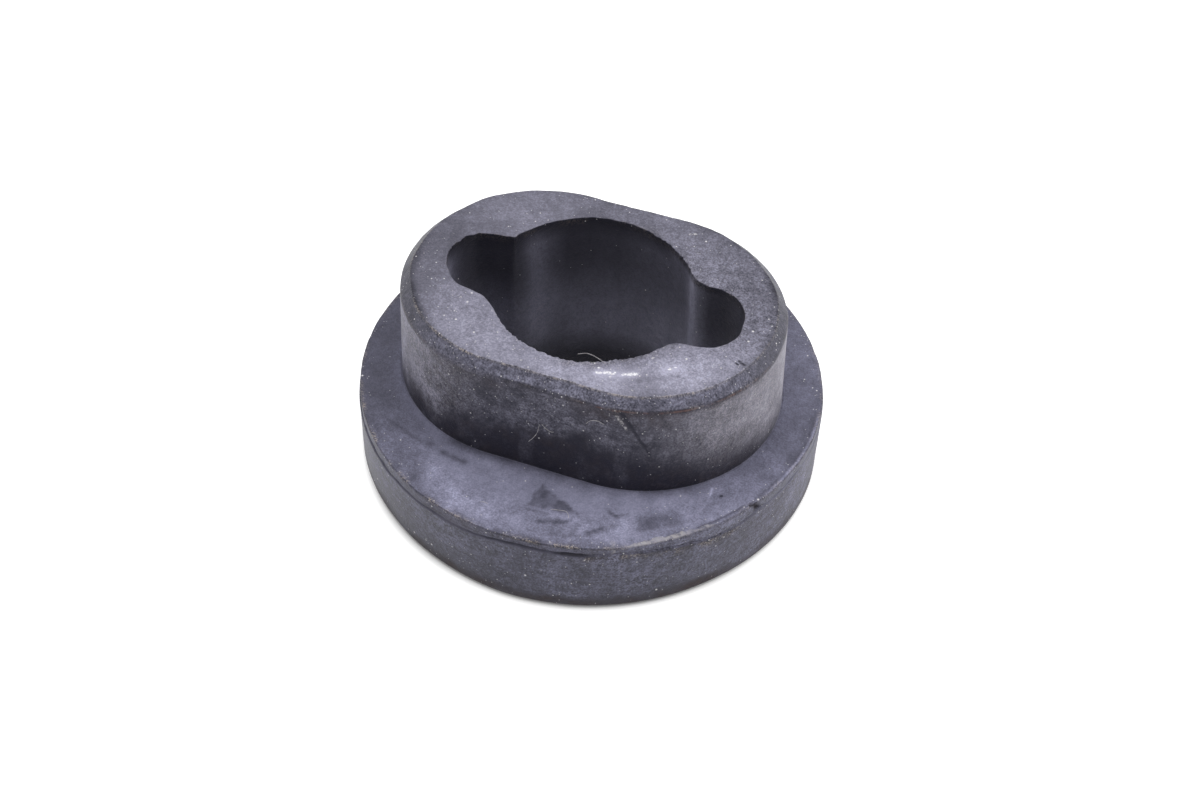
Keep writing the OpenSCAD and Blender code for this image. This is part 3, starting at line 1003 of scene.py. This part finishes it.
def build_lint(name):
    """All hairs in one mesh: thin closed tubes that taper at both ends."""
    verts, faces = [], []
    for hair in HAIRS:
        line = smooth_run(hair)
        first = len(verts)
        for k, point in enumerate(line):
            ahead = (line[min(k + 1, len(line) - 1)] - line[max(k - 1, 0)]).normalized()
            side = ahead.orthogonal().normalized()
            up = ahead.cross(side)
            r = LINT_R * (LINT_TIP if k in (0, len(line) - 1) else 1.0)
            for m in range(LINT_SIDES):
                turn = 2 * math.pi * m / LINT_SIDES
                verts.append((point + side * (r * math.cos(turn)) + up * (r * math.sin(turn))) * MM)
        for k in range(len(line) - 1):
            for m in range(LINT_SIDES):
                a = first + k * LINT_SIDES + m
                b = first + k * LINT_SIDES + (m + 1) % LINT_SIDES
                faces.append((a, b, b + LINT_SIDES, a + LINT_SIDES))
        faces.append(tuple(first + m for m in reversed(range(LINT_SIDES))))
        faces.append(tuple(len(verts) - LINT_SIDES + m for m in range(LINT_SIDES)))
    mesh = bpy.data.meshes.new(name)
    mesh.from_pydata([tuple(v) for v in verts], [], faces)
    mesh.polygons.foreach_set("use_smooth", [True] * len(mesh.polygons))
    obj = bpy.data.objects.new(name, mesh)
    bpy.context.scene.collection.objects.link(obj)
    return obj


def make_lint():
    material, tree = new_material("lint")
    out = node(tree, "ShaderNodeOutputMaterial")
    shader = node(tree, "ShaderNodeBsdfPrincipled", Roughness=0.8)
    tree.links.new(shader.outputs[0], out.inputs[0])
    fibre = node(tree, "ShaderNodeTexNoise", Scale=4000.0, Detail=2.0)
    tree.links.new(node(tree, "ShaderNodeTexCoord").outputs["Object"], fibre.inputs["Vector"])
    colour = mix_colour(tree, ramp(tree, fibre.outputs["Fac"], 0.35, 0.65), LINT_SHADE, LINT_COLOUR)
    tree.links.new(colour, shader.inputs["Base Color"])
    return material


lint = build_lint("lint")
lint.data.materials.append(make_lint())
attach(lint, "root")

# Camera, at the photograph's angle
AZ, EL, ROLL = math.radians(19.308), math.radians(45.697), math.radians(1.723)
DIST, AIM = 164.85, Vector((-0.534, 4.094, 0.0))
LENS_MM, SENSOR_MM = 54.0, 36.0
NEAREST_M, FARTHEST_M = 0.005, 20
back = Vector((math.sin(AZ) * math.cos(EL), -math.cos(AZ) * math.cos(EL), math.sin(EL)))
across = Vector((math.cos(AZ), math.sin(AZ), 0))
behind = Vector((-math.sin(AZ), math.cos(AZ), 0))


def make_camera():
    level_up = back.cross(across)
    right = across * math.cos(ROLL) + level_up * math.sin(ROLL)
    up = level_up * math.cos(ROLL) - across * math.sin(ROLL)
    data = bpy.data.cameras.new("camera")
    data.sensor_fit = "HORIZONTAL"
    data.sensor_width = SENSOR_MM
    data.lens = LENS_MM
    data.clip_start = NEAREST_M
    data.clip_end = FARTHEST_M
    camera = bpy.data.objects.new("camera", data)
    place = Matrix((right, up, back)).transposed().to_4x4()
    place.translation = (AIM + back * DIST) * MM
    camera.matrix_world = place
    bpy.context.scene.collection.objects.link(camera)
    bpy.context.scene.camera = camera


make_camera()


# Floor, light and background

def white_to_the_eye(tree):
    """1 for rays from the camera, a reflection or a see-through surface, and 0 for the rest."""
    path = node(tree, "ShaderNodeLightPath")
    seen = calc(tree, "ADD", path.outputs["Is Camera Ray"], path.outputs["Is Glossy Ray"])
    seen = calc(tree, "ADD", seen, path.outputs["Is Transmission Ray"])
    return calc(tree, "MINIMUM", seen, 1.0)


# The floor lies just under the damper, and glows up to where the damper stands on it
FLOOR_HALF, FLOOR_DROP, FLOOR_GLOW, FLOOR_SHADE = 3000.0, 0.02, 0.68, 0.82
CONTACT_CENTRE, CONTACT_IN, CONTACT_SOFT = (0.10, -0.20), 0.22, 0.6


def make_floor():
    mesh = bpy.data.meshes.new("floor")
    h = FLOOR_HALF * MM
    mesh.from_pydata([(-h, -h, 0), (h, -h, 0), (h, h, 0), (-h, h, 0)], [], [(0, 1, 2, 3)])
    floor = bpy.data.objects.new("floor", mesh)
    floor.location.z = -FLOOR_DROP * MM
    bpy.context.scene.collection.objects.link(floor)
    material, tree = new_material("paper")
    out = node(tree, "ShaderNodeOutputMaterial")
    paper = node(tree, "ShaderNodeBsdfDiffuse", Color=(FLOOR_SHADE, FLOOR_SHADE, FLOOR_SHADE, 1))
    glow = node(tree, "ShaderNodeEmission", Color=(1, 1, 1, 1))
    where = node(tree, "ShaderNodeTexCoord").outputs["Object"]
    far = node(tree, "ShaderNodeVectorMath", operation="DISTANCE")
    far.inputs[1].default_value = (CONTACT_CENTRE[0] * MM, CONTACT_CENTRE[1] * MM, 0)
    tree.links.new(where, far.inputs[0])
    inside = (FLANGE_R - CONTACT_IN - CONTACT_SOFT) * MM
    outside = (FLANGE_R - CONTACT_IN + CONTACT_SOFT) * MM
    open_floor = ramp(tree, far.outputs["Value"], inside, outside, 0.0, FLOOR_GLOW)
    tree.links.new(calc(tree, "MULTIPLY", white_to_the_eye(tree), open_floor), glow.inputs["Strength"])
    both = node(tree, "ShaderNodeAddShader")
    tree.links.new(paper.outputs[0], both.inputs[0])
    tree.links.new(glow.outputs[0], both.inputs[1])
    tree.links.new(both.outputs[0], out.inputs[0])
    mesh.materials.append(material)


WORLD_FILL = 0.40


def make_world():
    world = bpy.data.worlds.new("world")
    bpy.context.scene.world = world
    world.use_nodes = True
    tree = world.node_tree
    tree.nodes.clear()
    out = node(tree, "ShaderNodeOutputWorld")
    sky = node(tree, "ShaderNodeBackground", Color=(1, 1, 1, 1))
    shown = calc(tree, "MULTIPLY", white_to_the_eye(tree), 1 - WORLD_FILL)
    tree.links.new(calc(tree, "ADD", shown, WORLD_FILL), sky.inputs["Strength"])
    tree.links.new(sky.outputs[0], out.inputs[0])


# Square lamps: places to the right, behind and above as the camera sees them, then sizes and watts
LAMPS = [
    ("key", 20, -10, 330, 260, 0.60),
    ("right", 270, 40, 110, 160, 0.30),
    ("left", -270, 60, 110, 160, 0.12),
]
LAMP_AIM_Z = 8


def softbox(name, x, y, z, size, watts):
    """A square lamp aimed at the damper."""
    data = bpy.data.lights.new(name, "AREA")
    data.shape = "SQUARE"
    data.size = size * MM
    data.energy = watts
    lamp = bpy.data.objects.new(name, data)
    lamp.location = (across * x + behind * y + Vector((0, 0, z))) * MM
    lamp.rotation_mode = "QUATERNION"
    lamp.rotation_quaternion = (Vector((0, 0, LAMP_AIM_Z * MM)) - lamp.location).to_track_quat("-Z", "Y")
    bpy.context.scene.collection.objects.link(lamp)


make_floor()
make_world()
for lamp_values in LAMPS:
    softbox(*lamp_values)
bpy.context.scene.view_settings.view_transform = "Standard"
